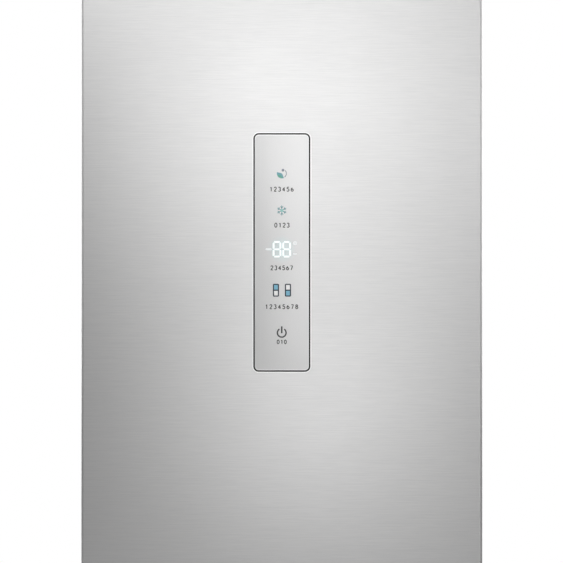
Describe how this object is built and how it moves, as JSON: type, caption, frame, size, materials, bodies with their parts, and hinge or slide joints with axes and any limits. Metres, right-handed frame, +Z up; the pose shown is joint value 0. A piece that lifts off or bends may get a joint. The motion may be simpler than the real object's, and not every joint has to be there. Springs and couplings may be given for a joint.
{
  "type": "fridge freezer",
  "caption": "Tall two-door fridge freezer with a brushed steel front, touch panel, shelves, bins and drawers; doors hinged on the right.",
  "frame": {"origin": "on the floor under the middle of the whole box", "axes": "+X to the right seen from the front, -Y the way the doors face, +Z up"},
  "size_m": [0.595, 0.6, 2],
  "materials": {
    "brushed_steel": "fine horizontal brushing",
    "panel_plate": "silver satin",
    "display_light": "clear, lit from behind",
    "circuit_board": "lacquered board",
    "black_plastic": "fine grained",
    "grey_plastic": "fine grained",
    "white_liner": "smooth",
    "clear_plastic": "clear moulded",
    "trim": "satin",
    "shelf_glass": "toughened",
    "cabinet_paint": "satin grey",
    "zinc_steel": "zinc plated",
    "foam": "rigid insulating foam",
    "gasket": "soft matt",
    "compressor_paint": "black enamel",
    "rubber": "matt",
    "copper": "bare tube",
    "fins": "bare",
    "light_lens": "frosted"
  },
  "bodies": {
    "cabinet": {"cabinet_wrap": "cabinet_paint", "rear_panel": "zinc_steel", "base_plate": "zinc_steel", "cabinet_foam": "foam", "fridge_liner": "white_liner", "freezer_liner": "white_liner", "mullion_plate": "cabinet_paint", "top_hinge": "zinc_steel", "middle_hinge": "zinc_steel", "bottom_hinge": "zinc_steel", "top_hinge_cover": "grey_plastic", "cabinet_screws": "zinc_steel", "rear_spacers": "black_plastic", "compressor": "compressor_paint", "compressor_mounts": "rubber", "refrigerant_pipes": "copper", "evaporation_tray": "black_plastic", "bay_cover": "zinc_steel", "cable_gland": "black_plastic", "fridge_air_duct": "white_liner", "ceiling_light": "light_lens", "freezer_air_duct": "white_liner", "evaporator": "fins", "fan_motor": "black_plastic", "shelf_glass_1": "shelf_glass", "shelf_glass_2": "shelf_glass", "shelf_glass_3": "shelf_glass", "shelf_glass_4": "shelf_glass", "shelf_trims": "trim"},
    "fridge_door": {"upper_door_skin": "brushed_steel", "upper_door_liner": "white_liner", "upper_door_foam": "foam", "upper_door_top_cap": "grey_plastic", "upper_door_bottom_cap": "grey_plastic", "upper_door_gasket": "gasket", "panel_housing": "black_plastic", "panel_fascia": "panel_plate", "display_board": "circuit_board", "display_segments": "display_light"},
    "freezer_door": {"lower_door_skin": "brushed_steel", "lower_door_liner": "white_liner", "lower_door_foam": "foam", "lower_door_top_cap": "grey_plastic", "lower_door_bottom_cap": "grey_plastic", "lower_door_gasket": "gasket"},
    "bin_1": {"door_bin_1": "clear_plastic"},
    "bin_2": {"door_bin_2": "clear_plastic"},
    "bin_3": {"door_bin_3": "clear_plastic"},
    "bin_4": {"door_bin_4": "clear_plastic"},
    "left_foot": {"foot_left": "black_plastic"},
    "right_foot": {"foot_right": "black_plastic"},
    "left_roller": {"roller_left": "black_plastic"},
    "right_roller": {"roller_right": "black_plastic"},
    "fan": {"fan_wheel": "black_plastic"},
    "damper": {"damper_flap": "black_plastic"},
    "crisper": {"crisper_drawer": "clear_plastic"},
    "slider": {"humidity_slider": "grey_plastic"},
    "drawer_1": {"freezer_drawer_1": "clear_plastic"},
    "drawer_2": {"freezer_drawer_2": "clear_plastic"},
    "drawer_3": {"freezer_drawer_3": "clear_plastic"}
  },
  "joints": [
    {"name": "fridge_door_hinge", "type": "hinge", "parent": "cabinet", "child": "fridge_door", "pos_m": [0.2755, -0.274, 1.367], "axis": [0, 0, 1], "range_deg": [0, 115]},
    {"name": "freezer_door_hinge", "type": "hinge", "parent": "cabinet", "child": "freezer_door", "pos_m": [0.2755, -0.274, 0.394], "axis": [0, 0, 1], "range_deg": [0, 115]},
    {"name": "crisper_slide", "type": "slide", "parent": "cabinet", "child": "crisper", "axis": [0, -1, 0], "range_m": [0, 0.185]},
    {"name": "drawer_1_slide", "type": "slide", "parent": "cabinet", "child": "drawer_1", "axis": [0, -1, 0], "range_m": [0, 0.174]},
    {"name": "drawer_2_slide", "type": "slide", "parent": "cabinet", "child": "drawer_2", "axis": [0, -1, 0], "range_m": [0, 0.174]},
    {"name": "drawer_3_slide", "type": "slide", "parent": "cabinet", "child": "drawer_3", "axis": [0, -1, 0], "range_m": [0, 0.174]},
    {"name": "bin_1_lift", "type": "slide", "parent": "fridge_door", "child": "bin_1", "axis": [0, 0, 1], "range_m": [0, 0.03]},
    {"name": "bin_2_lift", "type": "slide", "parent": "fridge_door", "child": "bin_2", "axis": [0, 0, 1], "range_m": [0, 0.03]},
    {"name": "bin_3_lift", "type": "slide", "parent": "fridge_door", "child": "bin_3", "axis": [0, 0, 1], "range_m": [0, 0.03]},
    {"name": "bin_4_lift", "type": "slide", "parent": "fridge_door", "child": "bin_4", "axis": [0, 0, 1], "range_m": [0, 0.03]},
    {"name": "humidity_slide", "type": "slide", "parent": "cabinet", "child": "slider", "axis": [1, 0, 0], "range_m": [-0.02, 0.02]},
    {"name": "fan_spin", "type": "hinge", "parent": "cabinet", "child": "fan", "pos_m": [0, 0.182, 0.64], "axis": [0, 1, 0], "continuous": true},
    {"name": "damper_hinge", "type": "hinge", "parent": "cabinet", "child": "damper", "pos_m": [0, 0.205, 0.788], "axis": [1, 0, 0], "range_deg": [0, 80]},
    {"name": "left_foot_turn_out", "type": "slide", "parent": "cabinet", "child": "left_foot", "axis": [0, 0, -1], "range_m": [0, 0.012]},
    {"name": "right_foot_turn_out", "type": "slide", "parent": "cabinet", "child": "right_foot", "axis": [0, 0, -1], "range_m": [0, 0.012]},
    {"name": "left_roller_spin", "type": "hinge", "parent": "cabinet", "child": "left_roller", "pos_m": [-0.255, 0.24, 0.01], "axis": [1, 0, 0], "continuous": true},
    {"name": "right_roller_spin", "type": "hinge", "parent": "cabinet", "child": "right_roller", "pos_m": [0.255, 0.24, 0.01], "axis": [1, 0, 0], "continuous": true}
  ],
  "couplings": [
    {"joint": "crisper_slide", "follows": "fridge_door_hinge", "m_per_rad": 0.09167},
    {"joint": "drawer_1_slide", "follows": "freezer_door_hinge", "m_per_rad": 0.08594},
    {"joint": "drawer_2_slide", "follows": "freezer_door_hinge", "m_per_rad": 0.08594},
    {"joint": "drawer_3_slide", "follows": "freezer_door_hinge", "m_per_rad": 0.08594}
  ]
}
